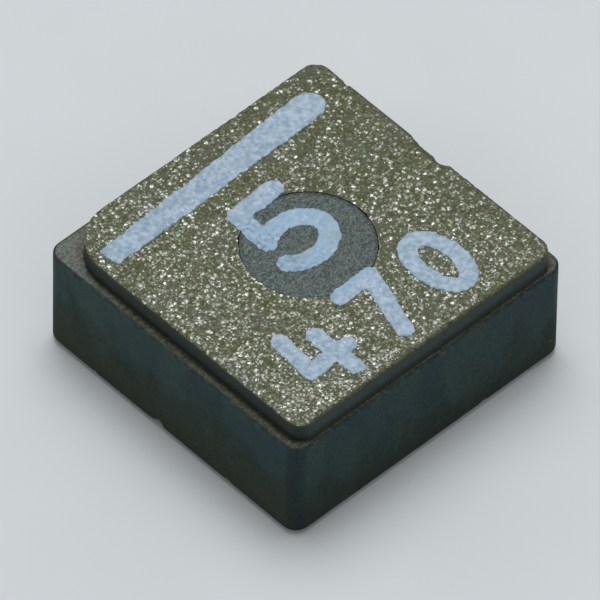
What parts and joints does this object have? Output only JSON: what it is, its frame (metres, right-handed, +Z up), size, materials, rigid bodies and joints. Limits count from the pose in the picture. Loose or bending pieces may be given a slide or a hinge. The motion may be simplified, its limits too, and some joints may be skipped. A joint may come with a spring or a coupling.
{
  "type": "shielded smd inductor",
  "caption": "Square moulded surface-mount power inductor: composite pressed round a T-shaped core and a flat-wound coil, with two flat terminals underneath.",
  "frame": {"origin": "centre of the seating plane, which is the plane of the two solder faces", "axes": "+Z up off the board, +Y across the terminals towards the ink bar, +X along the terminals towards the bar's round end"},
  "size_m": [0.0042, 0.0042, 0.0018],
  "materials": {
    "composite": "ground top with bright metal grains, smooth dark sides",
    "core": "fine ground",
    "copper": "enamelled",
    "plating": "matte tin",
    "solder": "satin",
    "ink": "thin print"
  },
  "bodies": {
    "root": {"moulded_body": "composite", "t_core": "core", "winding": "copper", "terminal_start": "plating", "terminal_finish": "plating", "solder_start": "solder", "solder_finish": "solder", "start_bar": "ink"}
  },
  "joints": []
}
